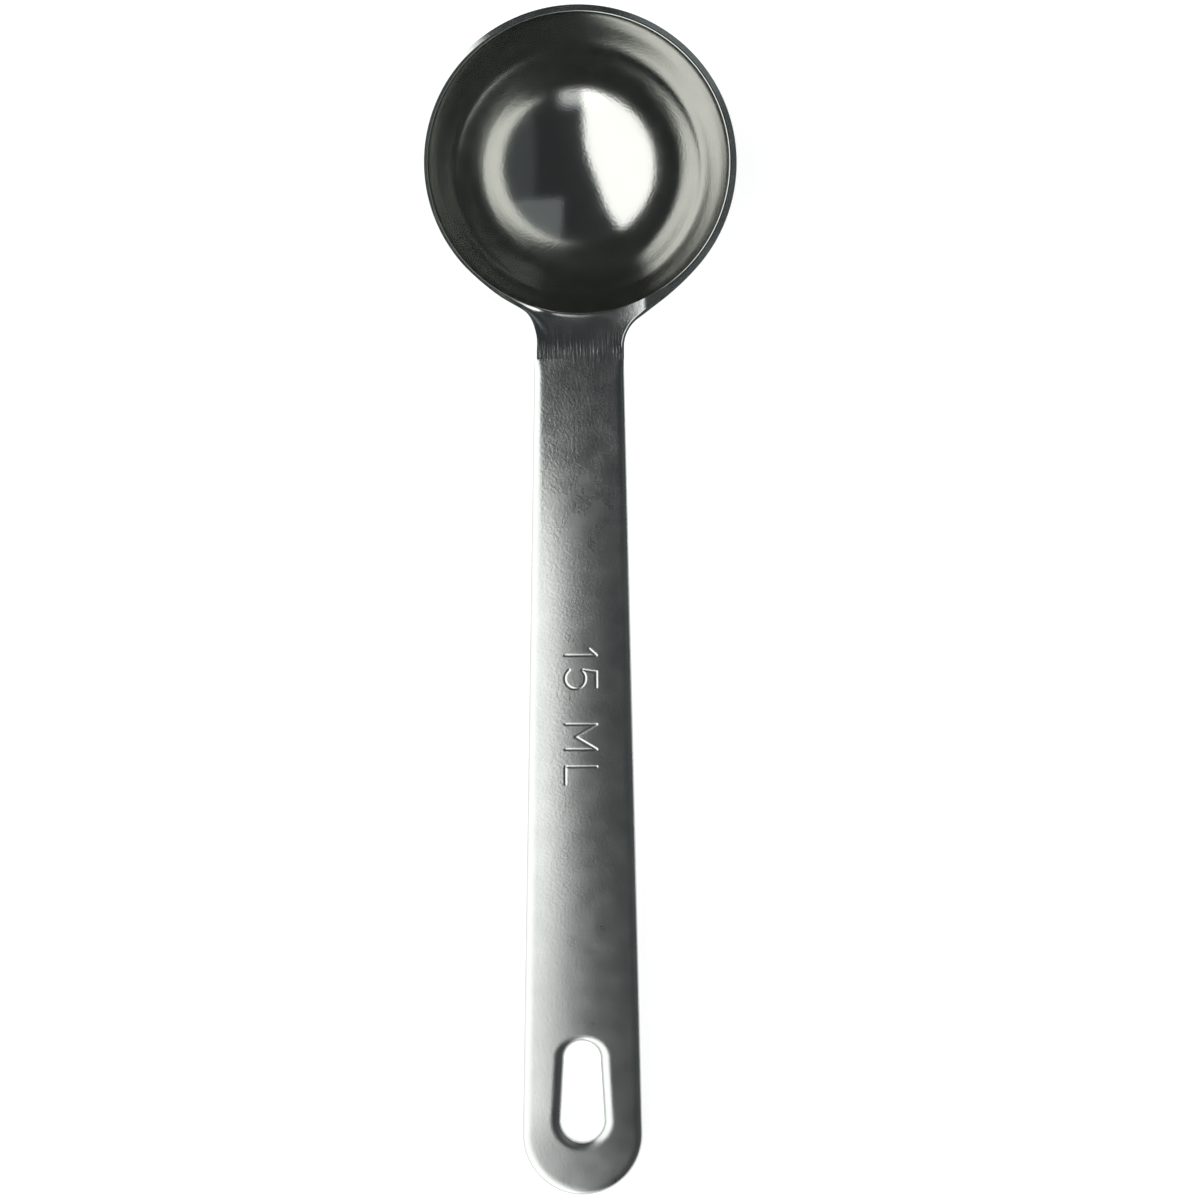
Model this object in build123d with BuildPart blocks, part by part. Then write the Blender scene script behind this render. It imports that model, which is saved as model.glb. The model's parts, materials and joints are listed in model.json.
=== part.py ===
from build123d import *

import os
from math import asin, atan2, degrees, hypot, pi, radians, tan

# Stainless steel measuring spoon of 15 ml, in millimetres: a drawn bowl with a short flat neck, and a pressed handle
# that is butt-joined to the neck. It is drawn with the rim level, at z = 0, the bowl's centre on the Z axis and the
# handle along -Y, and then laid down as it rests on a table, on the bowl's underside and the handle's tip.

# Sheet and bowl
sheet = 1.0
bowl_radius = 19.28
rim_break = 0.1
rim_land = 0.2

# Neck: its length is from the rim's outside to the seam
neck_width = 11.5
neck_length = 4.92
flare_angle = 38.0
flare_corner_radius = 3.6

# Mouth: where the wall was drawn down from the neck, seen from above a crescent over the rim's inner edge
mouth_radius = 0.6
mouth_reach = 0.55
mouth_shift = 1.6

# Handle: its length is from the seam to the centre of the round end
handle_length = 99.1
end_radius = 7.65
crown_at_neck = 0.1
crown_at_end = 0.6
edge_radius = 1.3
edge_depth_at_neck = 1.4
edge_depth = 2.2
edge_run_in = 14.0

# Hanging slot: its far centre lies this far short of the round end's centre
slot_setback = 1.8
slot_length = 8.0
slot_near_radius = 2.35
slot_far_radius = 2.8
lip_radius = 1.2
lip_depth = 1.7

# Cutters run past what they cut by this much
overrun = 5.0

outer_radius = bowl_radius + sheet
ball_radius = hypot(outer_radius, sheet)
rim_bevel = sheet - rim_break - rim_land
half_neck = neck_width / 2

# Distances from the bowl's centre
seam_distance = outer_radius + neck_length
end_distance = seam_distance + handle_length
slot_far_distance = end_distance - slot_setback
slot_near_distance = slot_far_distance - slot_length


def across(distance):
    """The upright plane across the handle at a distance from the bowl's centre."""
    return Plane.XZ.offset(distance)


def share_along(distance):
    """How far along the handle a place is: 0 at the seam, 1 at the centre of the round end."""
    return (distance - seam_distance) / (end_distance - seam_distance)


def half_width(distance):
    """The handle widens evenly from the neck's width to its end's diameter."""
    return half_neck + (end_radius - half_neck) * share_along(distance)


def crown(distance):
    """How far the handle's edges lie below its middle line."""
    return crown_at_neck + (crown_at_end - crown_at_neck) * share_along(distance)


def channel(distance, depth, inset):
    """The handle's cross-section: a crowned top with rounded corners, its whole outline moved inwards by inset."""
    half = half_width(distance) - inset
    edge_top = -crown(distance) - inset
    with BuildSketch(across(distance)) as section:
        with BuildLine():
            ThreePointArc((-half, edge_top), (0, -inset), (half, edge_top))
            Polyline((half, edge_top), (half, -depth), (-half, -depth), (-half, edge_top))
        make_face()
        fillet(section.vertices().group_by(Axis.Y)[-1], edge_radius - inset)
    return section.sketch


def half_channel(depth, inset):
    """One side of the cross-section at the centre of the round end, to be turned about that centre."""
    with BuildSketch(across(end_distance)) as section:
        add(channel(end_distance, depth, inset))
        split(bisect_by=Plane.YZ)
    return section.sketch


def slot(margin):
    """The hanging slot's outline seen from above, wider and rounder towards the tip, grown by margin."""
    with BuildSketch() as outline:
        with Locations((0, -slot_near_distance)):
            Circle(slot_near_radius + margin)
        with Locations((0, -slot_far_distance)):
            Circle(slot_far_radius + margin)
        make_hull()
    return outline.sketch


# The straight side of each flare leaves the rim's circle at its tangent and meets the neck's side at its foot
flare_start = Vector(0, -outer_radius).rotate(Axis.Z, flare_angle)
flare_drop = (flare_start.X - half_neck) * tan(radians(flare_angle))
flare_foot = flare_start.Y - flare_drop

with BuildPart() as bowl:
    # Rim and neck: one flat outline, one sheet deep, bevelled along its top edge all the way to the seam
    with BuildSketch(Plane.XY.offset(-sheet)) as outline:
        Circle(outer_radius)
        with BuildLine():
            Polyline(
                (flare_start.X, flare_start.Y),
                (half_neck, flare_foot),
                (half_neck, -seam_distance),
                (-half_neck, -seam_distance),
                (-half_neck, flare_foot),
                (-flare_start.X, flare_start.Y),
                close=True,
            )
        make_face()
        fillet(outline.vertices().group_by(Axis.Y)[1], flare_corner_radius)
    extrude(amount=sheet)
    top_edges = faces().sort_by(Axis.Z)[-1].edges()
    chamfer(top_edges - top_edges.filter_by(Axis.X), rim_bevel)

    # Outside of the bowl: half a ball, which meets the rim's wall one sheet down
    with BuildSketch(Plane.XZ):
        with BuildLine():
            outside = CenterArc((0, 0), ball_radius, -90, 90 - degrees(asin(sheet / ball_radius)))
            Polyline(outside @ 1, (0, -sheet), outside @ 0)
        make_face()
    revolve(axis=Axis.Z)

    # Hollow: half a ball up to the rim, whose inner edge is broken
    land_start = bowl_radius + rim_break
    with BuildSketch(Plane.XZ):
        with BuildLine():
            inside = CenterArc((0, 0), bowl_radius, -90, 90 - degrees(asin(rim_break / bowl_radius)))
            Polyline(inside @ 1, (land_start, 0), (land_start, overrun), (0, overrun), inside @ 0)
        make_face()
    revolve(axis=Axis.Z, mode=Mode.SUBTRACT)

    # Mouth: a convex radius that reaches furthest over the middle of the neck and runs out along the rim
    mouth_edge = bowl_radius + mouth_reach - mouth_shift
    with BuildSketch(across(mouth_shift)):
        with BuildLine():
            throat = Line((mouth_edge - mouth_radius, -mouth_radius), (mouth_edge - mouth_radius, overrun))
            Polyline(throat @ 1, (mouth_edge, overrun), (mouth_edge, 0))
            CenterArc((mouth_edge, -mouth_radius), mouth_radius, 90, 90)
        make_face()
    revolve(axis=Axis((0, -mouth_shift, 0), (0, 0, 1)), mode=Mode.SUBTRACT)

with BuildPart() as handle:
    run_in_end = seam_distance + edge_run_in
    end_axis = Axis((0, -end_distance, 0), (0, 0, -1))

    # Outside: it widens and is crowned along its length, and its edges are turned down a little deeper past the neck
    outer_run = [
        channel(seam_distance, edge_depth_at_neck, 0),
        channel(run_in_end, edge_depth, 0),
        channel(end_distance, edge_depth, 0),
    ]
    loft(outer_run, ruled=True)
    revolve(half_channel(edge_depth, 0), axis=end_axis, revolution_arc=180)

    # Underside: the same form one sheet further in, open below
    hollow_depth = edge_depth + overrun
    inner_run = [channel(seam_distance, hollow_depth, sheet), channel(end_distance, hollow_depth, sheet)]
    loft(inner_run, ruled=True, mode=Mode.SUBTRACT)
    revolve(half_channel(hollow_depth, sheet), axis=end_axis, revolution_arc=180, mode=Mode.SUBTRACT)

    # Hanging slot, its lip pressed down all round
    with BuildSketch(Plane.XY.offset(-lip_depth)):
        add(slot(sheet))
    extrude(amount=lip_depth - sheet / 2)
    with BuildSketch(Plane.XY.offset(-lip_depth - overrun)):
        add(slot(0))
    extrude(amount=lip_depth + 2 * overrun, mode=Mode.SUBTRACT)
    slot_edges = edges(Select.LAST).filter_by_position(Axis.Z, -lip_depth / 4, 0)
    fillet(slot_edges, lip_radius)

# Rest pose: the spoon leans back until the handle's tip is as low as the bowl's underside, and its box is centred
tip_distance = end_distance + end_radius
lean = asin(ball_radius / hypot(tip_distance, edge_depth)) - atan2(edge_depth, tip_distance)
leaning = Rot(X=degrees(lean))
laid = Compound([leaning * bowl.part, leaning * handle.part]).bounding_box()
rest = Pos(0, -laid.center().Y, -laid.min.Z) * leaning

os.makedirs("parts", exist_ok=True)
bowl.part.locate(rest)
bowl.part.label = "bowl"
export_step(bowl.part, "parts/bowl.step")
handle.part.locate(rest)
handle.part.label = "handle"
export_step(handle.part, "parts/handle.step")

level_fill = 2 / 3 * pi * bowl_radius**3
print(f"Level fill {level_fill:.0f} cubic mm, lean {degrees(lean):.3f} degrees, moved by {rest.position}")
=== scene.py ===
import json
from math import asin, atan2, cos, pi, radians, sin, sqrt, tan

import bmesh
import bpy
import numpy as np
from mathutils import Matrix, Vector


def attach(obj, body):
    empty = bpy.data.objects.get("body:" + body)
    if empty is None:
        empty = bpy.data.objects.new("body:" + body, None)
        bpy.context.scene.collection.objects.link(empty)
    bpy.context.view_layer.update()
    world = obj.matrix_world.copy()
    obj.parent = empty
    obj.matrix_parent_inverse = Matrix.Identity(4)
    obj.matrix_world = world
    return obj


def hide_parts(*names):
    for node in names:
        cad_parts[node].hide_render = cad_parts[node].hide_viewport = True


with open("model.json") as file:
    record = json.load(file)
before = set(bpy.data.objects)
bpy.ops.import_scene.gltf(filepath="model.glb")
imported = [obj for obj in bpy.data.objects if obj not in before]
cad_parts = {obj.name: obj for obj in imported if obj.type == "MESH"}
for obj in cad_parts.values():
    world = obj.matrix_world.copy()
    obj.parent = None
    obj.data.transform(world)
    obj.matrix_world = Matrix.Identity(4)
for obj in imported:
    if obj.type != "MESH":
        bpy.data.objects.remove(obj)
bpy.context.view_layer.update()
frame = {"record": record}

# A stainless steel measuring spoon. All shapes are worked out in millimetres in the spoon's own frame: the
# rim's plane is z = 0, the bowl's centre is the origin and the handle runs along -Y. One turn and one move,
# taken from the rim's mount, lay the finished points down in the shared frame.
MM = 0.001

# Sheet and bowl
SHEET = 1.0
BOWL_RADIUS = 19.28
OUTER_RADIUS = BOWL_RADIUS + SHEET
BALL_RADIUS = sqrt(OUTER_RADIUS**2 + SHEET**2)
RIM_BREAK = 0.1
RIM_LAND = 0.2

# Slope in degrees that the hollow's wall mirrors, by its distance in degrees from the bottom. At 55 lies a
# faint ring, such as a drawing die leaves
WALL_PLACES = (0, 37, 44, 50, 53, 55, 58, 61, 65, 70, 75, 80, 85, 90)
WALL_SLOPES = (0, 36.6, 46.5, 50.9, 51.7, 50.4, 54.8, 57.2, 57.9, 59.6, 62.7, 65.0, 70.0, 76.0)

# Neck: from the rim its outline runs over a wide flare arc, a straight and a corner to the neck's side. The
# foot is how far under the sheet the outside of the ball begins, and it is higher under the neck
HALF_NECK = 5.75
SEAM = 25.2
SEAM_TOLERANCE = 0.001
FLARE_START_ANGLE = 48.0
FLARE_ANGLE = 37.0
FLARE_RADIUS = 34.0
CORNER_RADIUS = 4.5
FOOT = 0.4
FOOT_GAIN_UNDER_NECK = 1.4
FOOT_FULL_ANGLE = radians(12)
FOOT_END_ANGLE = radians(FLARE_START_ANGLE - 6)

# Rim band, the sheet's bevelled edge. The shares of its width are at the neck's side, the corner, the
# flare's foot, the flare and the rim: the hand that dressed the edge took more off the left of the neck and
# the right of the rim. On the far side of the rim both halves have the full width
BAND_WIDTH = 0.78
BAND_DEPTH = 0.55
RIGHT_BAND = (0.42, 0.36, 0.42, 0.75, 1.0)
LEFT_BAND = (0.45, 0.85, 1.65, 1.05, 0.75)
BAND_EVENS_OUT = (radians(120), radians(165))
BAND_SMOOTHINGS = 6

# The band's profile, as shares of its width inwards from the outline and of its depth
BAND_PROFILE = (
    (0.97, 0.0), (0.93, 0.01), (0.90, 0.04), (0.86, 0.09), (0.70, 0.27), (0.50, 0.50),
    (0.30, 0.73), (0.14, 0.92), (0.05, 1.0), (0.015, 1.10), (0.0, 1.3), (0.0, 1.5),
)

# Columns that run across the neck: the angles round the mouth at which those of the neck's side start and
# end, the share of that way by which they lead, and how far the seam's last column stays short of the band
SIDE_ANGLE = radians(12.8)
CORNER_ANGLE = radians(14.4)
SIDE_LEAD = 0.15
SEAM_MARGIN = 0.3

# Mouth: the radius between wall and floor, small along the rim and larger over the middle of the neck
CREST_RADIUS = 0.12
MOUTH_RADIUS = 0.22
MOUTH_FULL_ANGLE = radians(5)
MOUTH_END_ANGLE = radians(24)

# Dished neck floor, which lies below y = NECK_ZONE. It changes to its left form across LEFT_PART, and the
# bead along the mouth begins and ends across BEAD_START and BEAD_END
DISH_DEPTH = 0.4
DISH_HALF_WIDTH = 8.5
DISH_END = 23.9
DISH_FULL = 19.9
NECK_ZONE = -10.0
LEFT_PART = (-5.8, -3.2)
LEFT_SLOPE_WIDTH = 2.2
LEFT_STEP_WIDTH = 1.2
MOUTH_BEAD = 0.09
MOUTH_BEAD_WIDTH = 0.3
BEAD_START = (-7.0, -5.5)
BEAD_END = (1.5, 5.5)

# Handle: END is the centre of its round end, and END_ZONE is where the loops round the slot begin
END = 124.15
END_RADIUS = 7.65
END_ZONE = 109.5

# Crown: its gain and its losses, each over its stretch of the handle, and how much of it the top falls to
# the tip
CROWN_AT_NECK = 0.08
CROWN_GAIN = 0.61
GAIN_STRETCH = (27, 60)
CROWN_LOSS = 0.17
LOSS_STRETCH = (82, 112)
CROWN_LOSS_AT_TIP = 0.22
TIP_STRETCH = (121, 128)
END_FALL = 0.3

# Turned-down edge, and the roll of the top into it
EDGE_DEPTH_AT_NECK = 1.4
EDGE_DEPTH = 2.2
EDGE_RUN_IN = 14.0
EDGE_CORNER = 0.12
EDGE_CORNER_CUT = 0.3
EDGE_INNER_RADIUS = 0.5
ROLL_SPAN = 1.7
ROLL_SLOPE = radians(55)
ROLL_TIP = 0.12
ROLL_RUN_IN = 1.5
ROLL_POWER_AT_SEAM = 8.0
ROLL_POWER_LOSS = 4.5

# Steps from the edge to the middle of the handle's underside, and how close points are that are welded
UNDER_STEPS = 8
WELD_DISTANCE = 0.002

# Hanging slot
SLOT_NEAR = 114.5
SLOT_NEAR_RADIUS = 2.35
SLOT_FAR = 122.3
SLOT_FAR_RADIUS = 2.8
LIP_SPAN = 1.55
LIP_SPAN_LOST_NEAR = 0.55
LIP_SPAN_LOST_FAR = 0.18
LIP_SLOPE = radians(58)
LIP_POWER = 1.7
LIP_DEPTH = 1.7
LIP_THICKNESS = 0.9
LIP_CORNER = 0.05

# Marking: its strokes lie between points along the reading direction and up, and the round of the five is
# three quarters of a ring. MARK_GRID is the spacing of the points under it, which lie this close from
# MARK_MARGIN before its start to MARKING_LENGTH after it
LETTER_START = 62.2
LETTER_HEIGHT = 4.0
MARKING_LENGTH = 17.6
MARK_MARGIN = 0.4
MARK_GRID = 0.075
STROKE_WIDTH = 0.38
STROKE_DEPTH = 0.11
STROKES = (
    ((0.0, 3.1), (0.8, 4.0)), ((0.8, 4.0), (0.8, 0.0)),
    ((4.9, 4.0), (2.9, 4.0)), ((2.9, 4.0), (2.65, 2.2)),
    ((9.6, 0.0), (9.6, 4.0)), ((9.6, 4.0), (11.2, 1.3)),
    ((11.2, 1.3), (12.8, 4.0)), ((12.8, 4.0), (12.8, 0.0)),
    ((15.0, 4.0), (15.0, 0.0)), ((15.0, 0.0), (17.2, 0.0)),
)
RING_CENTRE = (3.75, 1.3)
RING_RADIUS = 1.3
RING_ENDS = (radians(-145), radians(140))


def spoon_frame():
    """The bowl's centre and the directions across, along and up from the rim, in the shared frame."""
    rim = next(m for m in frame["record"]["mounts"] if m["name"] == "rim_face")
    up = Vector(rim["axis"]).normalized()
    along = Vector((0, up.z, -up.y))
    land_middle = BOWL_RADIUS + RIM_BREAK + RIM_LAND / 2
    return Vector(rim["pos_m"]) - along * land_middle * MM, Vector((1, 0, 0)), along, up


CENTRE, ACROSS, ALONG, UP = spoon_frame()


def laid(points):
    """Points in millimetres in the spoon's own frame, turned and moved into the shared frame, in metres."""
    axes = np.array([ACROSS, ALONG, UP])
    return np.array(CENTRE) + MM * (np.asarray(points) @ axes)


def smoothstep(low, high, value):
    """0 below low, 1 above high, and an even S-curve between them."""
    t = np.clip((value - low) / (high - low), 0, 1)
    return t * t * (3 - 2 * t)


def shares_after(n):
    """n even steps of a way as shares of it, without its start and with its end."""
    return np.linspace(0, 1, n + 1)[1:]


def shares_before(n):
    """n even steps of a way as shares of it, with its start and without its end."""
    return np.linspace(0, 1, n + 1)[:-1]


def keep_seam_sharp(mesh):
    """Marks the edges in the seam's plane as sharp, so that the joint doesn't shade as a rounded edge."""
    places = np.empty(3 * len(mesh.vertices), np.float32)
    mesh.vertices.foreach_get("co", places)
    along = (places.reshape(-1, 3) - np.array(CENTRE)) @ np.array(ALONG) / MM
    ends = np.empty(2 * len(mesh.edges), np.int32)
    mesh.edges.foreach_get("vertices", ends)
    on_seam = (np.abs(along + SEAM) < SEAM_TOLERANCE)[ends.reshape(-1, 2)].all(1)
    sharp = mesh.attributes.get("sharp_edge") or mesh.attributes.new("sharp_edge", "BOOLEAN", "EDGE")
    sharp.data.foreach_set("value", on_seam)


def mesh_object(name, points, quads, triangles=None):
    """A smooth-shaded object of those corner points and faces, with its place in its mesh."""
    triangles = np.zeros((0, 3), int) if triangles is None else triangles
    corners = np.concatenate([quads.ravel(), triangles.ravel()])
    sizes = np.concatenate([np.full(len(quads), 4), np.full(len(triangles), 3)])
    mesh = bpy.data.meshes.new(name)
    mesh.vertices.add(len(points))
    mesh.vertices.foreach_set("co", laid(points).ravel())
    mesh.loops.add(len(corners))
    mesh.loops.foreach_set("vertex_index", corners)
    mesh.polygons.add(len(sizes))
    mesh.polygons.foreach_set("loop_start", np.concatenate([[0], np.cumsum(sizes)[:-1]]))
    mesh.update(calc_edges=True)
    mesh.validate()
    mesh.polygons.foreach_set("use_smooth", np.ones(len(sizes), bool))
    keep_seam_sharp(mesh)
    obj = bpy.data.objects.new(name, mesh)
    bpy.context.scene.collection.objects.link(obj)
    return obj


def grid_quads(rows, columns, close_rows=False):
    """Corner numbers of the quads of a rows by columns grid of points whose columns close round, and its
    rows too if asked."""
    r, c = np.meshgrid(np.arange(rows if close_rows else rows - 1), np.arange(columns), indexing="ij")
    r2, c2 = (r + 1) % rows, (c + 1) % columns
    quads = np.stack([r * columns + c, r * columns + c2, r2 * columns + c2, r2 * columns + c], axis=-1)
    return quads.reshape(-1, 4)


# Bowl: the outline of rim and neck, and the distance of any place inside it from that outline

FLARE_TURN = radians(90 - FLARE_ANGLE)
FLARE_CENTRE = (OUTER_RADIUS - FLARE_RADIUS) * np.array(
    [sin(radians(FLARE_START_ANGLE)), -cos(radians(FLARE_START_ANGLE))]
)
FLARE_NORMAL = np.array([sin(radians(FLARE_ANGLE)), -cos(radians(FLARE_ANGLE))])
FLARE_ALONG = np.array([cos(radians(FLARE_ANGLE)), sin(radians(FLARE_ANGLE))])
FLARE_END = FLARE_CENTRE + FLARE_RADIUS * FLARE_NORMAL
FLARE_FOOT = FLARE_END - FLARE_ALONG * (FLARE_END[0] - HALF_NECK) / FLARE_ALONG[0]
CORNER_REACH = CORNER_RADIUS * tan(FLARE_TURN / 2)
CORNER_START = np.array([HALF_NECK, FLARE_FOOT[1] - CORNER_REACH])
CORNER_CENTRE = CORNER_START + np.array([CORNER_RADIUS, 0])
CORNER_END = FLARE_FOOT + CORNER_REACH * FLARE_ALONG


def inward_distance(x, y):
    """Distance inwards from the outline of rim and neck: the least of the distances to the rim's circle or
    the flare's arc and straight, the corner's arc and the neck's side, each where a square line from the
    place meets it."""
    x = np.abs(x)
    place = np.stack([x, y], axis=-1)
    rim = OUTER_RADIUS - np.hypot(x, y)
    flare_arc = FLARE_RADIUS - np.linalg.norm(place - FLARE_CENTRE, axis=-1)
    straight = (FLARE_END - place) @ FLARE_NORMAL
    corner = np.linalg.norm(place - CORNER_CENTRE, axis=-1) - CORNER_RADIUS
    side = HALF_NECK - x
    angle = np.arctan2(x, -y)
    from_corner = (place - CORNER_END) @ FLARE_ALONG
    past_flare = (place - FLARE_END) @ FLARE_ALONG
    distance = np.where(angle > radians(FLARE_START_ANGLE), rim, flare_arc)
    distance = np.where(past_flare < 0, straight, distance)
    distance = np.where(from_corner < 0, corner, distance)
    return np.where(y < CORNER_START[1], side, distance)


def ease_wall(mesh, tilts, ray):
    """Sets the normals of the hollow, whose rows are the mesh's first points: the wall mirrors as if it
    flared a little towards the rim. All other normals stay as the faces give them."""
    slopes = np.radians(np.interp(np.degrees(tilts), WALL_PLACES, WALL_SLOPES))
    inward = np.concatenate([-np.sin(slopes)[..., None] * ray, np.cos(slopes)[..., None]], axis=-1)
    hollow = inward.reshape(-1, 3) @ np.array([ACROSS, ALONG, UP])
    normals = np.zeros((len(mesh.vertices), 3))
    normals[: len(hollow)] = hollow
    corners = np.empty(len(mesh.loops), np.int32)
    mesh.loops.foreach_get("vertex_index", corners)
    mesh.normals_split_custom_set(normals[corners])


def half_outline(shares):
    """The right half of the outline from the middle of the seam to the far side of the rim. For each point:
    its place, the outward direction, the band's width there as a share of the rim's, the angle round the
    mouth that it is joined to, and whether it is on the seam."""
    place, normal, band, angle, seam = [], [], [], [], []
    side_band, corner_band, foot_band, flare_band, rim_band = shares

    def stretch(points, normals, bands, angles, on_seam=False):
        n = len(points)
        place.append(points)
        normal.append(np.broadcast_to(normals, (n, 2)))
        band.append(np.broadcast_to(bands, n))
        angle.append(angles)
        seam.append(np.full(n, on_seam))

    # Seam
    t = np.linspace(0, 1, 16)
    x = t * (HALF_NECK - BAND_WIDTH * side_band - SEAM_MARGIN)
    stretch(np.stack([x, np.full_like(x, -SEAM)], 1), (0, -1), side_band, SIDE_ANGLE * t, True)

    # Neck's side
    t = shares_before(8)
    y = -SEAM + t * (CORNER_START[1] + SEAM)
    angles = SIDE_ANGLE + (CORNER_ANGLE - SIDE_ANGLE) * (t + SIDE_LEAD) / (1 + SIDE_LEAD)
    stretch(np.stack([np.full_like(y, HALF_NECK), y], 1), (1, 0), side_band, angles)

    # Corner
    t = shares_before(24)
    turn = t * FLARE_TURN
    out = np.stack([np.cos(turn), -np.sin(turn)], 1)
    corner_end_angle = atan2(CORNER_END[0], -CORNER_END[1])
    bands = np.interp(t, [0, 0.5, 1], [side_band, corner_band, foot_band])
    angles = CORNER_ANGLE + (corner_end_angle - CORNER_ANGLE) * t
    stretch(CORNER_CENTRE - CORNER_RADIUS * out, out, bands, angles)

    # Flare's straight
    t = shares_before(12)
    points = CORNER_END + t[:, None] * (FLARE_END - CORNER_END)
    bands = foot_band + (flare_band - foot_band) * t
    stretch(points, FLARE_NORMAL, bands, np.arctan2(points[:, 0], -points[:, 1]))

    # Flare's arc
    t = shares_before(20)
    turn = radians(FLARE_ANGLE) + t * radians(FLARE_START_ANGLE - FLARE_ANGLE)
    out = np.stack([np.sin(turn), -np.cos(turn)], 1)
    points = FLARE_CENTRE + FLARE_RADIUS * out
    bands = flare_band + (rim_band - flare_band) * t
    stretch(points, out, bands, np.arctan2(points[:, 0], -points[:, 1]))

    # Rim
    turn = np.linspace(radians(FLARE_START_ANGLE), pi, 91)
    out = np.stack([np.sin(turn), -np.cos(turn)], 1)
    bands = rim_band + (1 - rim_band) * smoothstep(*BAND_EVENS_OUT, turn)
    stretch(OUTER_RADIUS * out, out, bands, turn)
    return [np.concatenate(part) for part in (place, normal, band, angle, seam)]


def whole_outline():
    """The right half and a mirrored left half, once round from the middle of the seam. The band's width is
    smoothed along it by running means of three."""
    place, normal, band, angle, seam = half_outline(RIGHT_BAND)
    left_place, left_normal, left_band, left_angle, left_seam = half_outline(LEFT_BAND)
    mirror = np.array([-1, 1])
    back = slice(-2, 0, -1)
    band = np.concatenate([band, left_band[back]])
    for _ in range(BAND_SMOOTHINGS):
        band = (np.roll(band, 1) + band + np.roll(band, -1)) / 3
    return (
        np.concatenate([place, left_place[back] * mirror]),
        np.concatenate([normal, left_normal[back] * mirror]),
        band,
        np.concatenate([angle, -left_angle[back]]),
        np.concatenate([seam, left_seam[back]]),
    )


def mouth_rounding(angle):
    """The radius between wall and floor at an angle round the mouth: largest over the neck's middle."""
    over_neck = 1 - smoothstep(MOUTH_FULL_ANGLE, MOUTH_END_ANGLE, np.abs(angle))
    return CREST_RADIUS + (MOUTH_RADIUS - CREST_RADIUS) * over_neck


def floor_height(x, y):
    """Height of the neck's dished floor. On the right it is a trough whose depth falls off with the cube of
    the distance from the middle. On the left it drops away from the mouth and steps up again to the band.
    Over the middle a low bead runs along the mouth. The whole dish runs out before the seam."""
    along = 1 - smoothstep(DISH_FULL, DISH_END, -y)
    angle = np.arctan2(x, -y)
    past_mouth = np.hypot(x, y) - BOWL_RADIUS - mouth_rounding(angle)
    right = np.clip(1 - (np.abs(x) / DISH_HALF_WIDTH) ** 3, 0, 1)
    fall = np.clip(past_mouth / LEFT_SLOPE_WIDTH, 0, 1)
    step = np.clip((inward_distance(x, y) - BAND_WIDTH * LEFT_BAND[2]) / LEFT_STEP_WIDTH, 0, 1)
    left = fall * (2 - fall) * step * (2 - step)
    to_left = 1 - smoothstep(*LEFT_PART, x)
    depth = DISH_DEPTH * along * (right + (left - right) * to_left)
    bead = MOUTH_BEAD * (1 - smoothstep(0, MOUTH_BEAD_WIDTH, past_mouth))
    bead = bead * smoothstep(*BEAD_START, x) * (1 - smoothstep(*BEAD_END, x))
    return (bead - depth) * (y < NECK_ZONE)


def on_ball(radius, tilt, ray):
    """Places on a ball round the origin, by their tilts from the bottom and their level rays."""
    return np.column_stack([radius * np.sin(tilt)[:, None] * ray, -radius * np.cos(tilt)])


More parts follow.
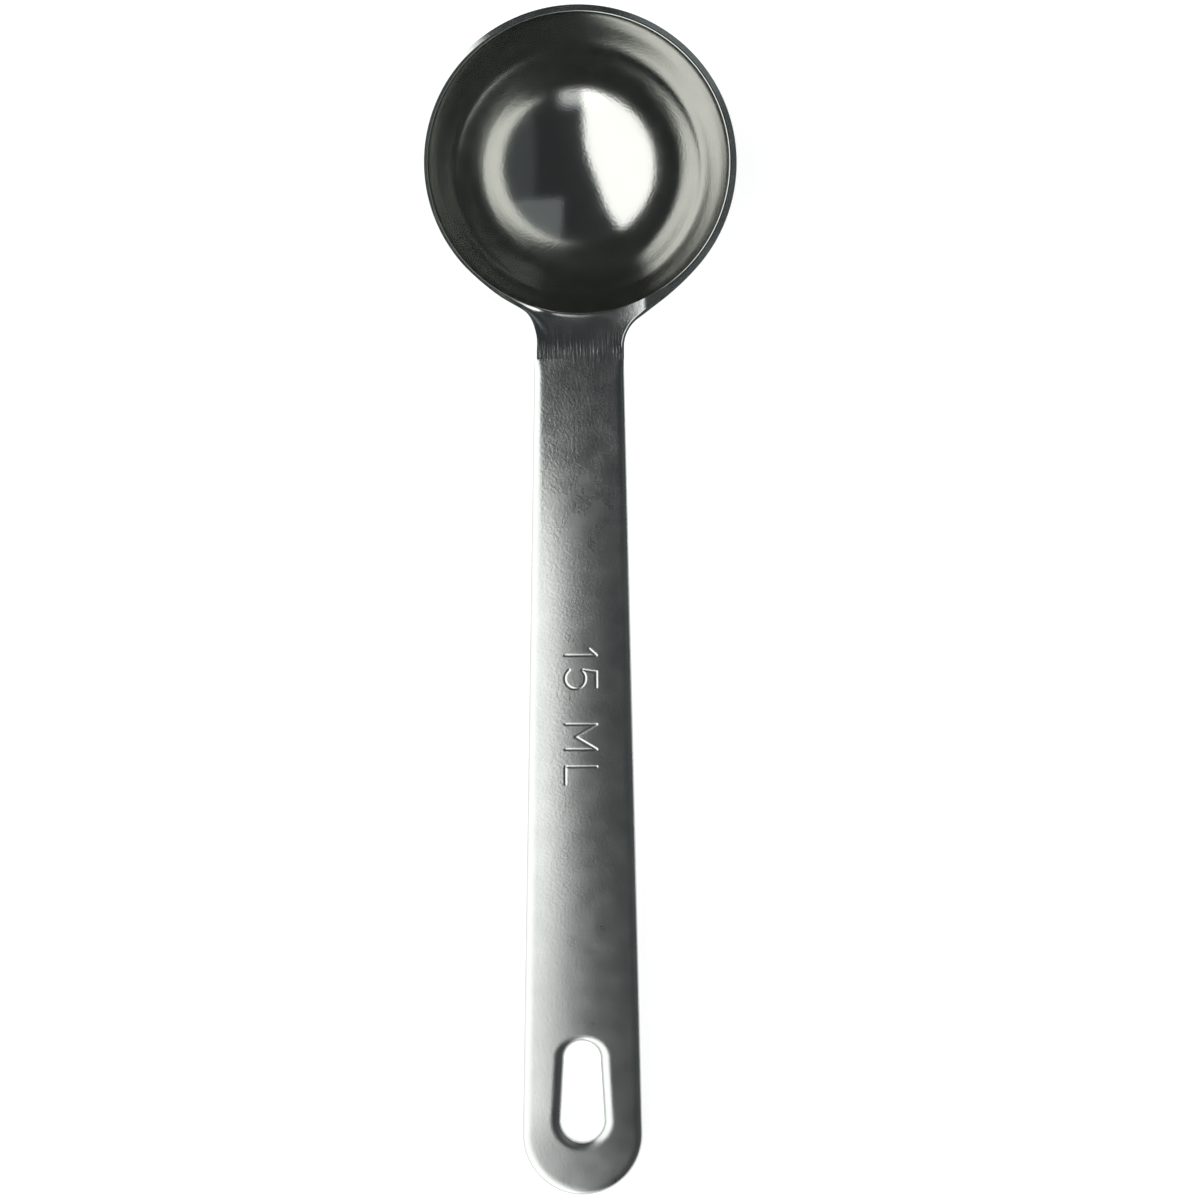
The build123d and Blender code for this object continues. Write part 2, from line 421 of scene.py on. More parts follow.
def bowl_shell():
    """Bowl and neck as one closed skin. Its columns go round the outline and its rows run from the middle
    of the hollow up the wall, over the mouth's radius, across the neck's floor, over the bevelled band,
    down the sheet's edge, back under the neck and round the outside to the bottom."""
    place, normal, band, angle, seam = whole_outline()
    ray = np.stack([np.sin(angle), -np.cos(angle)], 1)
    rows = []

    # Hollow, up to where the mouth's radius starts
    radius = mouth_rounding(angle)
    edge = (BOWL_RADIUS + radius)[:, None] * ray
    edge_height = floor_height(edge[:, 0], edge[:, 1])
    wall_top = edge_height - radius
    wall_angle = np.arccos(-wall_top / BOWL_RADIUS)
    wall_reach = BOWL_RADIUS * np.sin(wall_angle)

    tilts = [wall_angle * share for share in shares_after(60)]
    for tilt in tilts:
        rows.append(on_ball(BOWL_RADIUS, tilt, ray))

    # Mouth: a quarter round, small along the rim and larger over the neck
    for turn in pi / 2 * shares_after(7):
        reach = wall_reach + radius * (1 - cos(turn))
        rows.append(np.column_stack([reach[:, None] * ray, wall_top + radius * sin(turn)]))

    # Floor: straight from the mouth to the band's inner line or the seam, its rows closest near the mouth
    start = rows[-1][:, :2]
    width = BAND_WIDTH * band
    inner = np.where(seam[:, None], place, place - width[:, None] * normal)
    for share in shares_after(26) ** 1.3:
        flat = start + (inner - start) * share
        rows.append(np.column_stack([flat, floor_height(flat[:, 0], flat[:, 1])]))

    # Band: its profile, then the sheet's lower edge. On the seam the same rows go evenly down its face
    for i, (share, depth) in enumerate(BAND_PROFILE, 1):
        flat = np.where(seam[:, None], place, place - (share * width)[:, None] * normal)
        height = -BAND_DEPTH * np.minimum(band, 1) * depth
        on_seam = -SHEET * i / (len(BAND_PROFILE) + 1)
        rows.append(np.column_stack([flat, np.where(seam, on_seam, height)]))
    sheet_bottom = np.full(len(band), -SHEET)
    lower = np.column_stack([place, sheet_bottom])
    rows.append(lower)

    # Underside: from the sheet's lower edge in a curve over the foot to the ball
    under_neck = 1 - smoothstep(FOOT_FULL_ANGLE, FOOT_END_ANGLE, np.abs(angle))
    foot_height = -SHEET - (FOOT + FOOT_GAIN_UNDER_NECK * under_neck)
    foot_reach = np.sqrt(BALL_RADIUS**2 - foot_height**2)
    corner = np.column_stack([OUTER_RADIUS * ray, sheet_bottom])
    end = np.column_stack([foot_reach[:, None] * ray, foot_height])
    for t in shares_after(14):
        rows.append((1 - t) ** 2 * lower + 2 * t * (1 - t) * corner + t**2 * end)
    start_tilt = np.arccos(-foot_height / BALL_RADIUS)
    for share in shares_before(48)[:0:-1]:
        tilt = start_tilt * share
        rows.append(on_ball(BALL_RADIUS, tilt, ray))

    # Faces: the grid, and a fan of triangles at the bottom of the hollow and of the ball
    columns = len(band)
    points = np.concatenate(rows + [[[0, 0, -BOWL_RADIUS], [0, 0, -BALL_RADIUS]]])
    quads = grid_quads(len(rows), columns)[:, ::-1]
    ring = np.arange(columns)
    after = (ring + 1) % columns
    last = (len(rows) - 1) * columns
    inner_pole, outer_pole = len(points) - 2, len(points) - 1
    fans = np.concatenate(
        [
            np.column_stack([np.full(columns, inner_pole), ring, after]),
            np.column_stack([np.full(columns, outer_pole), last + after, last + ring]),
        ]
    )
    obj = mesh_object("bowl_shell", points, quads, fans)

    # The hollow has the first material, and all the rest the second
    finish = np.ones(len(quads) + len(fans), int)
    finish[: (len(tilts) - 1) * columns] = 0
    finish[len(quads) : len(quads) + columns] = 0
    obj.data.polygons.foreach_set("material_index", finish)
    ease_wall(obj.data, np.array(tilts[:-1]), ray)
    return obj


# Handle


def half_width(s):
    """Half the handle's width at a distance from the bowl's centre: it widens evenly to the round end."""
    return HALF_NECK + (END_RADIUS - HALF_NECK) * np.clip((s - SEAM) / (END - SEAM), 0, 1)


def crown(s):
    """How far the edges lie below the middle line at a distance from the bowl's centre: almost nothing at
    the neck, most half way, a little less at the slot and less again at the tip."""
    rise = CROWN_AT_NECK + CROWN_GAIN * smoothstep(*GAIN_STRETCH, s)
    return rise - CROWN_LOSS * smoothstep(*LOSS_STRETCH, s) - CROWN_LOSS_AT_TIP * smoothstep(*TIP_STRETCH, s)


def edge_bottom(s):
    """Height of the lower edge: it deepens over the run-in behind the seam."""
    deeper = np.clip((s - SEAM) / EDGE_RUN_IN, 0, 1)
    return -(EDGE_DEPTH_AT_NECK + (EDGE_DEPTH - EDGE_DEPTH_AT_NECK) * deeper)


def stroke_distance(a, b):
    """Distance from a place, a along the reading direction and b up, to the marking's nearest stroke."""
    ring_a, ring_b = RING_CENTRE
    turn = np.clip(np.arctan2(b - ring_b, a - ring_a), *RING_ENDS)
    nearest = np.hypot(a - ring_a - RING_RADIUS * np.cos(turn), b - ring_b - RING_RADIUS * np.sin(turn))
    for (a0, b0), (a1, b1) in STROKES:
        da, db = a1 - a0, b1 - b0
        t = np.clip(((a - a0) * da + (b - b0) * db) / (da * da + db * db), 0, 1)
        nearest = np.minimum(nearest, np.hypot(a - a0 - t * da, b - b0 - t * db))
    return nearest


def plain_height(x, s):
    """Height of the handle's top without its marking: a parabola across it. Past the centre of the round
    end it falls towards the tip as well, but less than to the sides."""
    past = np.maximum(s - END, 0)
    return -crown(s) * (x**2 + END_FALL * past**2) / half_width(s) ** 2


def under_height(x, s):
    """Height of the handle's underside: the top without its marking, one sheet down."""
    return plain_height(x, s) - SHEET


def top_height(x, s):
    """Height of the handle's top, less the groove of the marking's strokes."""
    distance = stroke_distance(s - LETTER_START, x + LETTER_HEIGHT / 2)
    groove = np.clip(1 - (distance / (STROKE_WIDTH / 2)) ** 2, 0, 1)
    return plain_height(x, s) - STROKE_DEPTH * groove**1.5


def edge_profile(s, across=1.0):
    """The rolled edge and the turned-down flange, as rows of a distance inwards from the outline and the
    heights at each distance s from the bowl's centre: the roll, whose slope grows with a power of the way
    that is higher just behind the seam, a small tip arc, the outer wall, the lower edge, the inner wall and
    the arc up to the underside. Across is how squarely each place faces the side, 1 along the handle and 0
    at the tip."""
    width = half_width(s)
    drop = crown(s) * (END_FALL + (1 - END_FALL) * across**2)
    start = width - ROLL_SPAN
    start_slope = np.arctan(2 * drop * start / width**2)
    start_height = -drop * (start / width) ** 2
    roll = ROLL_SPAN - ROLL_TIP * (1 - sin(ROLL_SLOPE))
    shares = np.linspace(0, 1, 17)
    power = ROLL_POWER_AT_SEAM - ROLL_POWER_LOSS * smoothstep(SEAM, SEAM + ROLL_RUN_IN, s)
    tangents = np.tan(start_slope + (ROLL_SLOPE - start_slope) * shares[:, None] ** power)
    falls = np.cumsum((tangents[1:] + tangents[:-1]) / 2, axis=0) * roll * shares[1]
    rows = [(ROLL_SPAN - roll * share, start_height - fall) for share, fall in zip(shares[1:], falls)]

    # Tip arc
    tip_start = rows[-1][1]
    for angle in np.linspace(ROLL_SLOPE, pi / 2, 4)[1:]:
        rows.append((ROLL_TIP * (1 - sin(angle)), tip_start - ROLL_TIP * (cos(ROLL_SLOPE) - cos(angle))))

    # Outer wall, lower edge with both corners cut, and the start of the inner wall
    top, bottom = rows[-1][1], edge_bottom(s)
    cut = EDGE_CORNER_CUT * EDGE_CORNER
    rows += [(0.0, top + (bottom + EDGE_CORNER - top) * share) for share in (0.1, 0.9, 1.0)]
    rows += [(cut, bottom + cut), (EDGE_CORNER, bottom)]
    rows += [(SHEET - EDGE_CORNER, bottom), (SHEET - cut, bottom + cut), (SHEET, bottom + EDGE_CORNER)]

    # Inner wall and arc to the underside, kept above the lower edge's corner
    inner = width - SHEET - EDGE_INNER_RADIUS
    ceiling = -drop * (inner / width) ** 2 - SHEET
    lowest = bottom + EDGE_CORNER + 0.01
    for angle in np.linspace(0, pi / 2, 5):
        inward = SHEET + EDGE_INNER_RADIUS * (1 - cos(angle))
        rows.append((inward, np.maximum(ceiling - EDGE_INNER_RADIUS * (1 - sin(angle)), lowest)))
    return rows


def shares_across():
    """Places across half the top, 0 in the middle and 1 where the roll starts, close under the marking."""
    marked = LETTER_HEIGHT / 2 + STROKE_WIDTH
    fine = marked / (half_width(LETTER_START) - ROLL_SPAN)
    return np.concatenate([np.linspace(0, fine, round(marked / MARK_GRID)), np.linspace(fine, 1, 10)[1:]])


def strip_rows():
    """Distances along the strip from the seam to the end zone, close together along the marking. A second
    row close behind the seam keeps its shading flat."""
    marking_start = LETTER_START - MARK_MARGIN
    marking_end = LETTER_START + MARKING_LENGTH
    before = np.linspace(SEAM, marking_start, 50)[1:-1]
    marking = np.arange(marking_start, marking_end, MARK_GRID)
    after = np.linspace(marking_end, END_ZONE, 40)
    return np.concatenate([[SEAM, SEAM + 0.1], before, marking, after])


def handle_strip():
    """The handle from the seam to the end zone: a closed cross-section carried along it, open at both ends.
    It runs from the middle of the top over the right edge, along the underside and back over the left
    edge."""
    s = strip_rows()
    across = shares_across()
    width = half_width(s)
    reach = width - ROLL_SPAN
    right = [(share * reach, top_height(share * reach, s)) for share in across]
    left_top = [(-share * reach, top_height(-share * reach, s)) for share in across[:0:-1]]
    right += [(width - inward, height) for inward, height in edge_profile(s)]
    under_reach = right[-1][0]
    for share in 1 - shares_after(UNDER_STEPS):
        right.append((share * under_reach, under_height(share * under_reach, s)))
    left = [(-x, z) for x, z in right[-2 : len(across) - 1 : -1]]
    loop = right + left + left_top
    x = np.stack([place[0] for place in loop], 1)
    z = np.stack([place[1] for place in loop], 1)
    y = np.broadcast_to(-s[:, None], x.shape)
    points = np.stack([x, y, z], -1).reshape(-1, 3)
    return points, grid_quads(len(s), len(loop))[:, ::-1]


def end_loops():
    """The right half of the slot's outline with its outward directions, and of the end zone's border with
    its outward directions, point for point. The border starts in the middle of the line across the handle,
    which is the first part, and follows the side and the round end. With it come its distances from the
    bowl's centre."""
    across = shares_across()
    lean = asin((SLOT_FAR_RADIUS - SLOT_NEAR_RADIUS) / (SLOT_FAR - SLOT_NEAR))
    turn_near = across * (pi / 2 + lean)
    sides = shares_after(20)
    turn_far = pi / 2 + lean + (pi / 2 - lean) * shares_after(30)

    def circle(distance, radius, turn):
        out = np.stack([np.sin(turn), np.cos(turn)], 1)
        return np.array([0, -distance]) + radius * out, out

    near, near_out = circle(SLOT_NEAR, SLOT_NEAR_RADIUS, turn_near)
    far, far_out = circle(SLOT_FAR, SLOT_FAR_RADIUS, turn_far)
    far_start = circle(SLOT_FAR, SLOT_FAR_RADIUS, np.array([pi / 2 + lean]))[0]
    straight = near[-1] + sides[:, None] * (far_start - near[-1])
    slot = np.concatenate([near, straight, far])
    slot_out = np.concatenate([near_out, np.broadcast_to(near_out[-1], straight.shape), far_out])

    line_x = across * (half_width(END_ZONE) - ROLL_SPAN)
    side_s = END_ZONE + sides * (END - END_ZONE)
    turn_end = pi / 2 * (1 + shares_after(30))
    end_out = np.stack([np.sin(turn_end), np.cos(turn_end)], 1)
    centre_s = np.concatenate([np.full(len(across), END_ZONE), side_s, np.full(len(end_out), END)])
    border_out = np.concatenate([np.broadcast_to([1.0, 0.0], (len(across) + len(sides), 2)), end_out])
    middle = np.stack([0 * centre_s, -centre_s], 1)
    outline = middle + half_width(centre_s)[:, None] * border_out
    border_s = centre_s - (END_RADIUS - ROLL_SPAN) * border_out[:, 1]
    outline[: len(across), 0] = line_x + ROLL_SPAN
    return slot, slot_out, outline, border_out, border_s


def handle_end():
    """The end zone, as rows of loops round the slot: up from the lip's lower edge, over the lip's roll,
    across the top, over the rolled edge and the flange, back across the underside and down the lip's
    outside."""
    slot, slot_out, outline, out, s = end_loops()
    across = shares_across()
    n_line = len(across)
    rows = []

    # Slot wall and lip, whose roll gets steeper towards the slot and is narrower at its two ends
    toward_bowl = np.clip(slot_out[:, 1], 0, 1) ** 2
    toward_tip = np.clip(-slot_out[:, 1], 0, 1) ** 2
    span = LIP_SPAN - LIP_SPAN_LOST_NEAR * toward_bowl - LIP_SPAN_LOST_FAR * toward_tip
    shares = np.linspace(0, 1, 17)
    tangents = np.tan(LIP_SLOPE * shares**LIP_POWER)
    falls = np.concatenate([[0], np.cumsum((tangents[1:] + tangents[:-1]) / 2) * shares[1]])
    lip_top = top_height(slot[:, 0], -slot[:, 1]) - span * falls[-1]
    for share in (0.0, 0.05, 0.6, 0.95):
        rows.append(np.column_stack([slot, -LIP_DEPTH + share * (lip_top + LIP_DEPTH)]))
    for share, fall in zip(shares[::-1], falls[::-1]):
        flat = slot + (span * (1 - share))[:, None] * slot_out
        rows.append(np.column_stack([flat, top_height(flat[:, 0], -flat[:, 1]) - span * fall]))

    # Top, as far as the roll
    start = rows[-1][:, :2]
    border = outline - ROLL_SPAN * out
    for share in shares_after(14):
        flat = start + (border - start) * share
        rows.append(np.column_stack([flat, top_height(flat[:, 0], -flat[:, 1])]))
    first_edge = len(rows) - 1

    # Rolled edge and flange, only beyond the line across the handle
    for inward, height in edge_profile(s, out[:, 0]):
        flat = outline - inward * out
        rows.append(np.column_stack([flat, height]))
    last_edge = len(rows) - 1

    # Underside, from the flange or the line across to the lip's outside
    under = rows[-1][:, :2].copy()
    inner_reach = half_width(END_ZONE) - edge_profile(np.array([END_ZONE]))[-1][0]
    lip_outside = slot + LIP_THICKNESS * slot_out
    line_x = across * inner_reach
    under[:n_line, 0] = line_x
    rows[last_edge][:n_line, 0] = line_x
    rows[last_edge][:n_line, 2] = under_height(line_x, np.full(n_line, END_ZONE))
    for share in shares_after(UNDER_STEPS):
        flat = under + (lip_outside - under) * share
        rows.append(np.column_stack([flat, under_height(flat[:, 0], -flat[:, 1])]))
    lip_bottom = np.full(len(slot), -LIP_DEPTH)
    rows.append(np.column_stack([lip_outside, lip_bottom + LIP_CORNER]))
    for share in (1 - LIP_CORNER, LIP_CORNER):
        rows.append(np.column_stack([slot + share * LIP_THICKNESS * slot_out, lip_bottom]))

    # Whole loops, and their faces: the edge's rows have none along the line across the handle
    loops = [np.concatenate([row, row[-2:0:-1] * [-1, 1, 1]]) for row in rows]
    columns = len(loops[0])
    quads = grid_quads(len(loops), columns, close_rows=True)
    row_of = np.repeat(np.arange(len(loops)), columns)
    column_of = np.tile(np.arange(columns), len(loops))
    in_line = (column_of < n_line - 1) | (column_of >= columns - (n_line - 1))
    open_rows = (row_of >= first_edge) & (row_of < last_edge)
    keep = ~(in_line & open_rows)
    return np.concatenate(loops), quads[keep]


def handle_pressing():
    """The handle as one closed skin: the strip, the end zone and the seam's face, welded to each other."""
    strip_points, strip_quads = handle_strip()
    end_points, end_quads = handle_end()
    points = np.concatenate([strip_points, end_points])
    quads = np.concatenate([strip_quads, end_quads + len(strip_points)])
    obj = mesh_object("handle_pressing", points, quads)
    skin = bmesh.new()
    skin.from_mesh(obj.data)
    bmesh.ops.remove_doubles(skin, verts=skin.verts, dist=WELD_DISTANCE * MM)
    border = [edge for edge in skin.edges if edge.is_boundary]
    bmesh.ops.holes_fill(skin, edges=border, sides=0)
    bmesh.ops.recalc_face_normals(skin, faces=skin.faces)
    skin.to_mesh(obj.data)
    skin.free()
    keep_seam_sharp(obj.data)
    return obj


# Materials

# Stretches along the spoon, in millimetres of Y: where the handle gets rougher, where its pebble gets
# fainter, and where the dressing marks on the neck set in and end
ROUGHER = (-25, -50)
FAINTER = (-75, -105)
MARKS_SET_IN = (-20, -22)
MARKS_END = (-24, -26.5)


def linear(hex_colour):
    """An sRGB hex colour as linear red, green, blue and 1."""
    parts = [int(hex_colour[i : i + 2], 16) / 255 for i in (1, 3, 5)]
    return [p / 12.92 if p <= 0.04045 else ((p + 0.055) / 1.055) ** 2.4 for p in parts] + [1.0]


def add(tree, kind, inputs=None, **settings):
    """A node with its settings. A tuple (node, output) as an input is a link, and anything else a value."""
    node = tree.nodes.new(kind)
    for name, value in settings.items():
        setattr(node, name, value)
    for name, value in (inputs or {}).items():
        if isinstance(value, tuple) and len(value) == 2 and isinstance(value[0], bpy.types.Node):
            tree.links.new(value[0].outputs[value[1]], node.inputs[name])
        else:
            node.inputs[name].default_value = value
    return node


def new_material(name):
    """An empty node material and its tree."""
    material = bpy.data.materials.new(name)
    material.use_nodes = True
    material.node_tree.nodes.clear()
    return material, material.node_tree


def spoon_coordinates(tree):
    """Places on the piece in the spoon's own frame, in metres: the object's coordinates, moved and turned
    back."""
    coordinates = add(tree, "ShaderNodeTexCoord")
    lean = atan2(-UP.y, UP.z)
    return add(
        tree,
        "ShaderNodeMapping",
        {"Vector": (coordinates, "Object"), "Location": tuple(CENTRE), "Rotation": (lean, 0, 0)},
        vector_type="TEXTURE",
    )


def drawn_steel():
    """Stainless steel of the 18/8 kind, deep-drawn and tumbled to a soft polish: it mirrors the window with
    blurred edges, a little unevenly."""
    material, tree = new_material("drawn_stainless_steel")
    place = spoon_coordinates(tree)
    at_place = {"Vector": (place, "Vector")}
    cloud = add(tree, "ShaderNodeTexNoise", at_place | {"Scale": 1 / (2.5 * MM), "Detail": 3.0})
    rough = add(
        tree,
        "ShaderNodeMapRange",
        {"Value": (cloud, "Fac"), "From Min": 0.3, "From Max": 0.7, "To Min": 0.115, "To Max": 0.145},
    )
    grain = add(tree, "ShaderNodeTexNoise", at_place | {"Scale": 1 / (0.35 * MM), "Detail": 2.0})
    bump = add(tree, "ShaderNodeBump", {"Height": (grain, "Fac"), "Strength": 0.4, "Distance": 0.02 * MM})
    shader = add(
        tree,
        "ShaderNodeBsdfPrincipled",
        {
            "Base Color": linear("#C6C7C2"),
            "Metallic": 1.0,
            "Roughness": (rough, "Result"),
            "Normal": (bump, "Normal"),
        },
    )
    add(tree, "ShaderNodeOutputMaterial", {"Surface": (shader, "BSDF")})
    return material


def pressed_steel(name, rough_at_neck, rough_at_end, pebbling):
    """The same steel, pressed, dressed lengthwise round the joint and then left with the fine pebble of
    tumbling. It is smoother near the neck than further down the handle, and its pebble gets fainter towards
    the slot."""
    material, tree = new_material(name)
    place = spoon_coordinates(tree)
    at_place = {"Vector": (place, "Vector")}
    parts = add(tree, "ShaderNodeSeparateXYZ", at_place)
    along = add(
        tree,
        "ShaderNodeMapRange",
        {
            "Value": (parts, "Y"),
            "From Min": ROUGHER[0] * MM,
            "From Max": ROUGHER[1] * MM,
            "To Min": rough_at_neck,
            "To Max": rough_at_end,
        },
    )
    cloud = add(tree, "ShaderNodeTexNoise", at_place | {"Scale": 1 / (3 * MM), "Detail": 3.0})
    uneven = add(
        tree,
        "ShaderNodeMapRange",
        {"Value": (cloud, "Fac"), "From Min": 0.3, "From Max": 0.7, "To Min": -0.03, "To Max": 0.03},
    )
    rough = add(tree, "ShaderNodeMath", {0: (along, "Result"), 1: (uneven, "Result")}, operation="ADD")
    pebble = add(tree, "ShaderNodeTexNoise", at_place | {"Scale": 1 / (0.35 * MM), "Detail": 3.0})
    fading = add(
        tree,
        "ShaderNodeMapRange",
        {
            "Value": (parts, "Y"),
            "From Min": FAINTER[0] * MM,
            "From Max": FAINTER[1] * MM,
            "To Min": pebbling,
            "To Max": 0.4 * pebbling,
        },
    )
    pebbled = add(
        tree,
        "ShaderNodeBump",
        {"Height": (pebble, "Fac"), "Strength": (fading, "Result"), "Distance": 0.03 * MM},
    )
    # Shallow pits 0.25 mm wide, 0.9 mm apart
    spots = add(tree, "ShaderNodeTexVoronoi", at_place | {"Scale": 1 / (0.9 * MM)})
    pits = add(
        tree,
        "ShaderNodeMapRange",
        {"Value": (spots, "Distance"), "From Min": 0.0, "From Max": 0.15, "To Min": 0.0, "To Max": 1.0},
    )
    pitted = add(
        tree,
        "ShaderNodeBump",
        {"Height": (pits, "Result"), "Strength": 0.3, "Distance": 0.02 * MM, "Normal": (pebbled, "Normal")},
    )
    # Dressing marks 0.3 mm apart, from the neck to just past the seam
    spacing = (1 / (0.3 * MM), 1 / (4 * MM), 1 / (4 * MM))
    stretched = add(tree, "ShaderNodeMapping", at_place | {"Scale": spacing})
    strokes = add(tree, "ShaderNodeTexNoise", {"Vector": (stretched, "Vector"), "Scale": 1.0, "Detail": 2.0})
    past_mouth = add(
        tree,
        "ShaderNodeMapRange",
        {
            "Value": (parts, "Y"),
            "From Min": MARKS_SET_IN[0] * MM,
            "From Max": MARKS_SET_IN[1] * MM,
            "To Min": 0.0,
            "To Max": 0.6,
        },
        interpolation_type="SMOOTHSTEP",
    )
    near_seam = add(
        tree,
        "ShaderNodeMapRange",
        {
            "Value": (parts, "Y"),
            "From Min": MARKS_END[1] * MM,
            "From Max": MARKS_END[0] * MM,
            "To Min": 0.0,
            "To Max": 1.0,
        },
        interpolation_type="SMOOTHSTEP",
    )
    dressed = add(tree, "ShaderNodeMath", {0: (past_mouth, 0), 1: (near_seam, 0)}, operation="MULTIPLY")
    bump = add(
        tree,
        "ShaderNodeBump",
        {
            "Height": (strokes, "Fac"),
            "Strength": (dressed, 0),
            "Distance": 0.05 * MM,
            "Normal": (pitted, "Normal"),
        },
    )
    shader = add(
        tree,
        "ShaderNodeBsdfPrincipled",
        {
            "Base Color": linear("#C8CBC8"),
            "Metallic": 1.0,
            "Roughness": (rough, 0),
            "Normal": (bump, "Normal"),
        },
    )
    add(tree, "ShaderNodeOutputMaterial", {"Surface": (shader, "BSDF")})
    return material


# Camera: 550 mm above the middle of the picture, looking almost square at the rim's plane. PIXEL is the
# width of a picture element there, and TARGET the middle of the picture, both in millimetres
IMAGE_SIDE = 1200
CAMERA_DISTANCE = 550.0
CAMERA_TILT = radians(0.39)
CAMERA_ROLL = radians(-0.257)
PIXEL = 0.12758
TARGET = (2.517, -55.938)
SENSOR = 36.0

# Room, in directions to the right, up and back towards the camera as the bowl sees it. The window lies on
# the left of four planes through the spoon: parts right, up and back of their normals, and softness. The
# grey shapes have limits to the right and up, a softness and a strength, and fade out behind the spoon
BOWL_VIEW = radians(5.8)
WINDOW_EDGES = ((1, 0, 0.08, 0.045), (1, 0.2, 0.128, 0.05), (1, 0.41, 0.15, 0.045), (1, 0.7, -0.096, 0.07))
WINDOW_STRENGTH = 1.75
ROOM_STRENGTH = 0.045
ROOM_SHAPES = (
    (-0.3, 0.22, -1.2, -0.7, 0.08, 0.8),
    (0.2, 0.85, 0.46, 0.95, 0.03, 0.17),
    (0.55, 1.2, -0.6, 0.5, 0.06, 0.05),
)
BEHIND_LIMIT = 0.15
BEHIND_SOFTNESS = 0.1

# Floor, in metres, and the strength of its own light
FLOOR_HALF = 1.5
FLOOR_GLOW = 0.83


def photo_camera():
    """A camera at the photograph's viewing angle, on the middle of the picture in the rim's plane."""
    back = UP * cos(CAMERA_TILT) - ALONG * sin(CAMERA_TILT)
    level = ALONG * cos(CAMERA_TILT) + UP * sin(CAMERA_TILT)
    right = ACROSS * cos(CAMERA_ROLL) + level * sin(CAMERA_ROLL)
    top = level * cos(CAMERA_ROLL) - ACROSS * sin(CAMERA_ROLL)
    data = bpy.data.cameras.new("camera")
    data.sensor_width = SENSOR
    data.lens = SENSOR * CAMERA_DISTANCE / (IMAGE_SIDE * PIXEL)
    data.clip_start = 0.01
    camera = bpy.data.objects.new("camera", data)
    target = CENTRE + MM * (TARGET[0] * ACROSS + TARGET[1] * ALONG)
    turn = Matrix((right, top, back)).transposed()
    camera.matrix_world = Matrix.Translation(target + back * CAMERA_DISTANCE * MM) @ turn.to_4x4()
    bpy.context.scene.collection.objects.link(camera)
    bpy.context.scene.camera = camera
    return right, top, back


def camera_or_mirror(tree):
    """1 for rays from the camera, mirrored rays and rays through glass, which all see the background."""
    path = add(tree, "ShaderNodeLightPath")
    direct = {0: (path, "Is Camera Ray"), 1: (path, "Is Glossy Ray")}
    seen = add(tree, "ShaderNodeMath", direct, operation="MAXIMUM")
    return add(tree, "ShaderNodeMath", {0: (seen, 0), 1: (path, "Is Transmission Ray")}, operation="MAXIMUM")


def white_floor():
    """A wide white floor at z = 0 that keeps a faint shadow: lit paint with a little light of its own."""
    mesh = bpy.data.meshes.new("floor")
    corners = [(x * FLOOR_HALF, y * FLOOR_HALF, 0) for x, y in ((-1, -1), (1, -1), (1, 1), (-1, 1))]
    mesh.from_pydata(corners, [], [(0, 1, 2, 3)])
    floor = bpy.data.objects.new("floor", mesh)
    bpy.context.scene.collection.objects.link(floor)
    material, tree = new_material("white_table")
    paint = add(tree, "ShaderNodeBsdfDiffuse", {"Color": linear("#C8C8C8")})
    glow = add(tree, "ShaderNodeEmission", {"Color": (1, 1, 1, 1), "Strength": FLOOR_GLOW})
    both = add(tree, "ShaderNodeAddShader", {0: (paint, 0), 1: (glow, 0)})
    mix = add(tree, "ShaderNodeMixShader", {0: (camera_or_mirror(tree), 0), 1: (paint, 0), 2: (both, 0)})
    add(tree, "ShaderNodeOutputMaterial", {"Surface": (mix, 0)})
    mesh.materials.append(material)


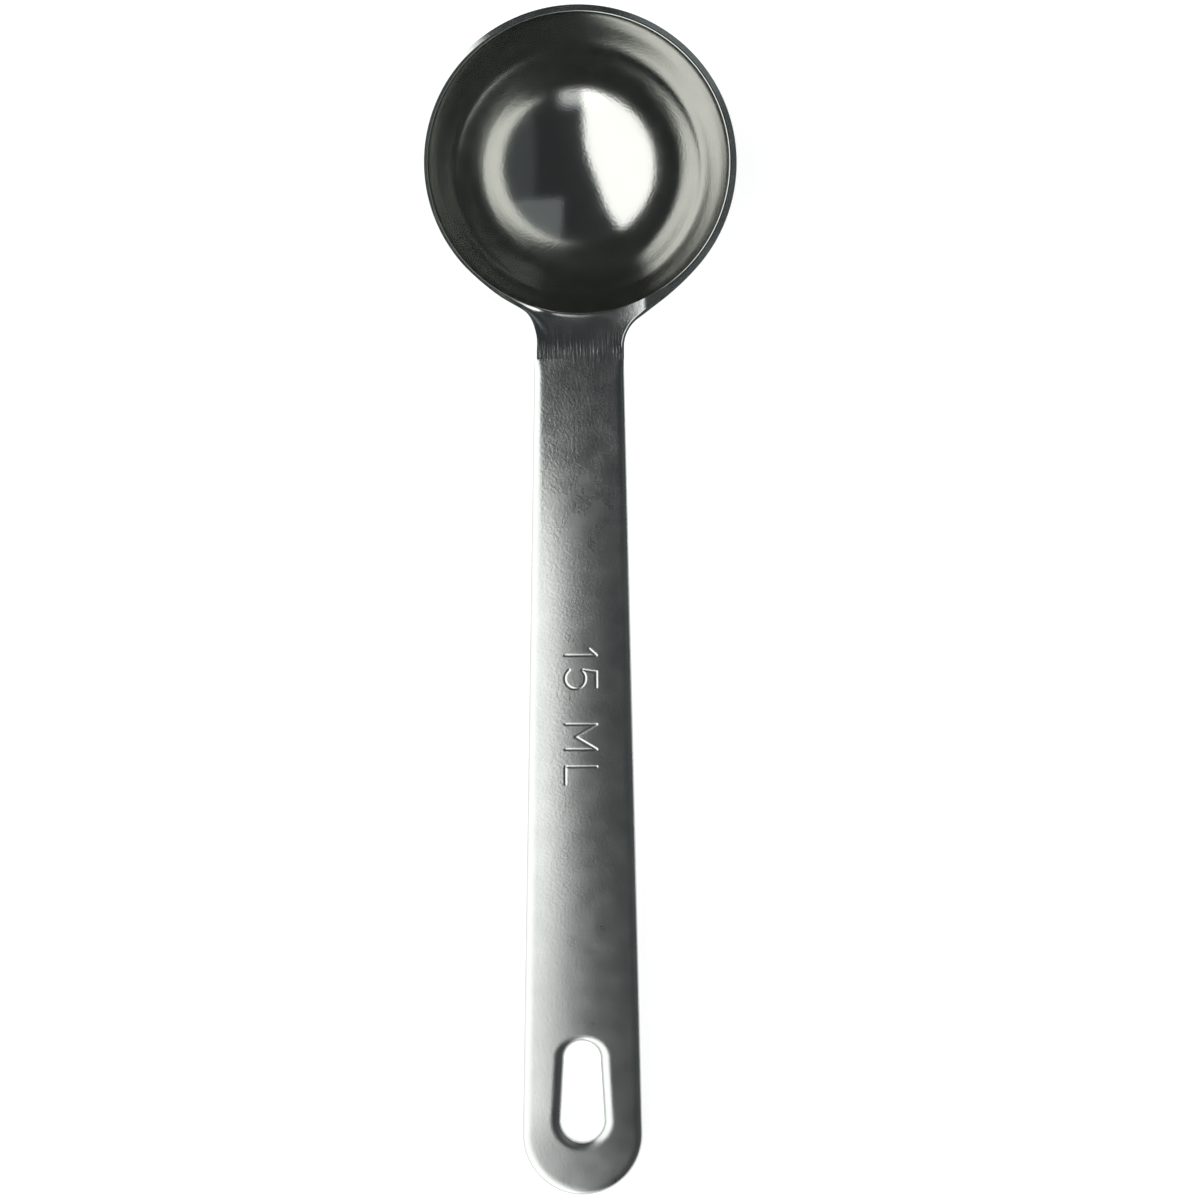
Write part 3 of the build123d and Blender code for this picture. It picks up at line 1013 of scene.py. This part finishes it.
def studio_light(right, top, back):
    """The room as the spoon mirrors it: a broad bright window on the left, whose edge passes close to the
    camera and slants off towards the far left, and a dark room on the right with a few grey shapes in it.
    The camera sees plain white."""
    world = bpy.data.worlds.new("studio")
    world.use_nodes = True
    bpy.context.scene.world = world
    tree = world.node_tree
    tree.nodes.clear()
    direction = add(tree, "ShaderNodeTexCoord")
    to_camera = back * cos(BOWL_VIEW) - top * sin(BOWL_VIEW)
    up = top * cos(BOWL_VIEW) + back * sin(BOWL_VIEW)

    def inside(axis, limit, soft):
        """1 where the direction's part along axis is under the limit, falling softly to 0 round it."""
        both = {0: (direction, "Generated"), 1: tuple(axis)}
        part = add(tree, "ShaderNodeVectorMath", both, operation="DOT_PRODUCT")
        return add(
            tree,
            "ShaderNodeMapRange",
            {
                "Value": (part, "Value"),
                "From Min": limit - soft,
                "From Max": limit + soft,
                "To Min": 1.0,
                "To Max": 0.0,
            },
            interpolation_type="SMOOTHSTEP",
        )

    def lit(limits, strength):
        """Light of that strength inside all the limits."""
        shape = limits[0]
        for limit in limits[1:]:
            shape = add(tree, "ShaderNodeMath", {0: (shape, 0), 1: (limit, 0)}, operation="MULTIPLY")
        return add(tree, "ShaderNodeMath", {0: (shape, 0), 1: strength}, operation="MULTIPLY")

    window_edges = []
    for part_right, part_up, part_back, soft in WINDOW_EDGES:
        normal = right * part_right + up * part_up + to_camera * part_back
        window_edges.append(inside(normal.normalized(), 0, soft))
    light = lit(window_edges, WINDOW_STRENGTH)

    for x_low, x_high, y_low, y_high, soft, strength in ROOM_SHAPES:
        limits = [
            inside(right, x_high, soft),
            inside(-right, -x_low, soft),
            inside(up, y_high, soft),
            inside(-up, -y_low, soft),
            inside(-to_camera, BEHIND_LIMIT, BEHIND_SOFTNESS),
        ]
        light = add(tree, "ShaderNodeMath", {0: (light, 0), 1: (lit(limits, strength), 0)}, operation="ADD")
    room = add(tree, "ShaderNodeMath", {0: (light, 0), 1: ROOM_STRENGTH}, operation="ADD")

    # Rays from the camera see plain white instead of the room
    path = add(tree, "ShaderNodeLightPath")
    level = add(
        tree,
        "ShaderNodeMix",
        {"Factor": (path, "Is Camera Ray"), "A": (room, 0), "B": 1.0},
        data_type="FLOAT",
    )

    # The dark room is a little bluish. Inputs 6 and 7 and output 2 of a mix node are its colours
    bright = add(tree, "ShaderNodeMath", {0: (light, 0), 1: (path, "Is Camera Ray")}, operation="MAXIMUM")
    shades = {0: (bright, 0), 6: linear("#EEF9FF"), 7: linear("#FFFFFF")}
    colour = add(tree, "ShaderNodeMix", shades, data_type="RGBA")
    background = add(tree, "ShaderNodeBackground", {"Color": (colour, 2), "Strength": (level, 0)})
    add(tree, "ShaderNodeOutputWorld", {"Surface": (background, 0)})


bowl = bowl_shell()
bowl.data.materials.append(drawn_steel())
bowl.data.materials.append(
    pressed_steel("dressed_stainless_steel", rough_at_neck=0.19, rough_at_end=0.19, pebbling=0.3)
)
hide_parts("bowl")
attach(bowl, "root")

handle = handle_pressing()
handle.data.materials.append(
    pressed_steel("pressed_stainless_steel", rough_at_neck=0.2, rough_at_end=0.3, pebbling=0.6)
)
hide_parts("handle")
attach(handle, "root")

white_floor()
studio_light(*photo_camera())
bpy.context.scene.view_settings.view_transform = "Standard"
